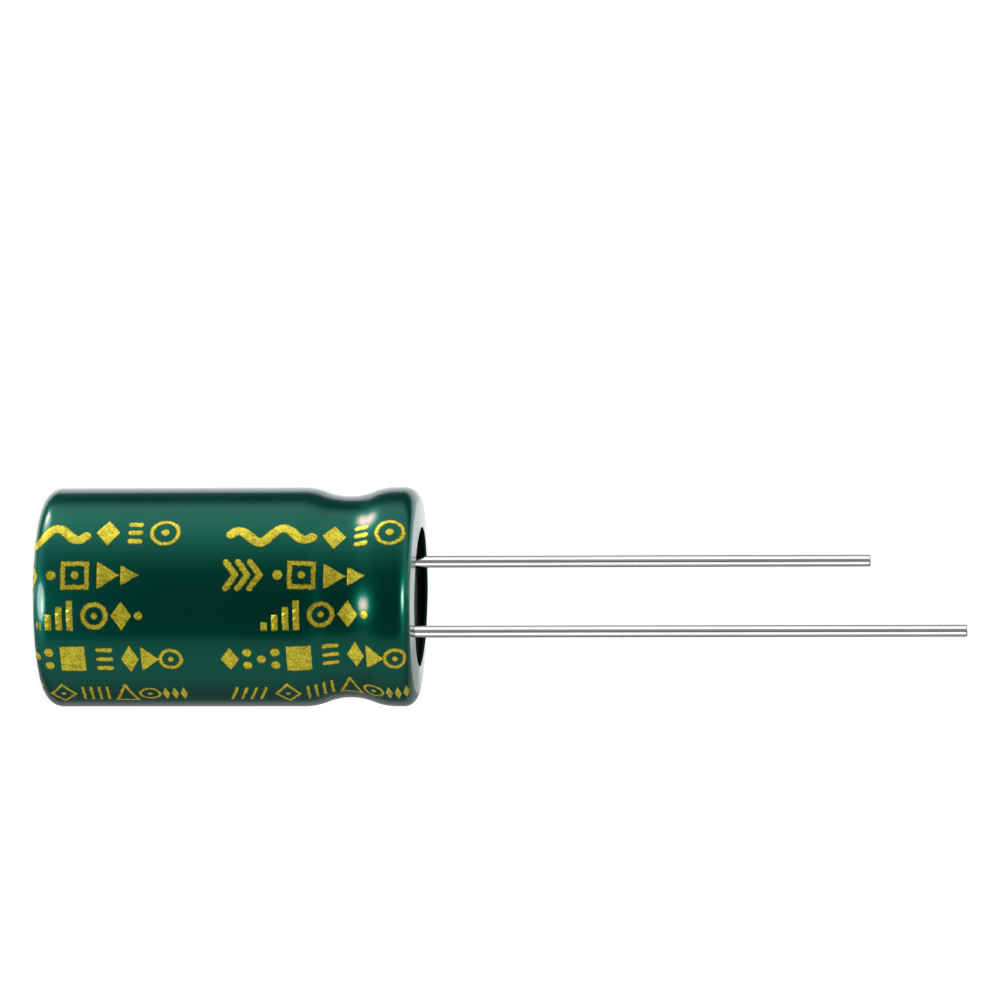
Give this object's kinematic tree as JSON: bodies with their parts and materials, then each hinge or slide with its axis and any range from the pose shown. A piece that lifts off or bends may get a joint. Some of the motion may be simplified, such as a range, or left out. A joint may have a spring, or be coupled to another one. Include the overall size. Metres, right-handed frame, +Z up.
{
  "type": "electrolytic capacitor",
  "caption": "Radial electrolytic capacitor: a sleeved aluminium can with a rolled bead, a recessed rubber end seal and parallel tinned wire leads.",
  "frame": {"origin": "centre of the vent-end rim, on the surface that the capacitor stands on", "axes": "+Z up along the can's axis towards the leads; +X from the can's axis towards the positive lead; the negative lead is on -X"},
  "size_m": [0.0102, 0.0102, 0.043],
  "materials": {
    "sleeve_film": "glossy shrink film",
    "sleeve_print": "metallic gold ink with a fine grain",
    "can_aluminium": "drawn aluminium, bright",
    "seal_rubber": "moulded rubber, matt",
    "lead_tin": "bright tin plating, drawn lines",
    "tab_aluminium": "pressed aluminium, satin",
    "winding_paper": "soaked separator paper and foil edges",
    "winding_tape": "polyester tape"
  },
  "bodies": {
    "root": {"sleeve": "sleeve_film", "can": "can_aluminium", "end_seal": "seal_rubber", "positive_lead": "lead_tin", "negative_lead": "lead_tin", "positive_tab": "tab_aluminium", "negative_tab": "tab_aluminium", "winding": "winding_paper", "winding_tape": "winding_tape"}
  },
  "joints": []
}
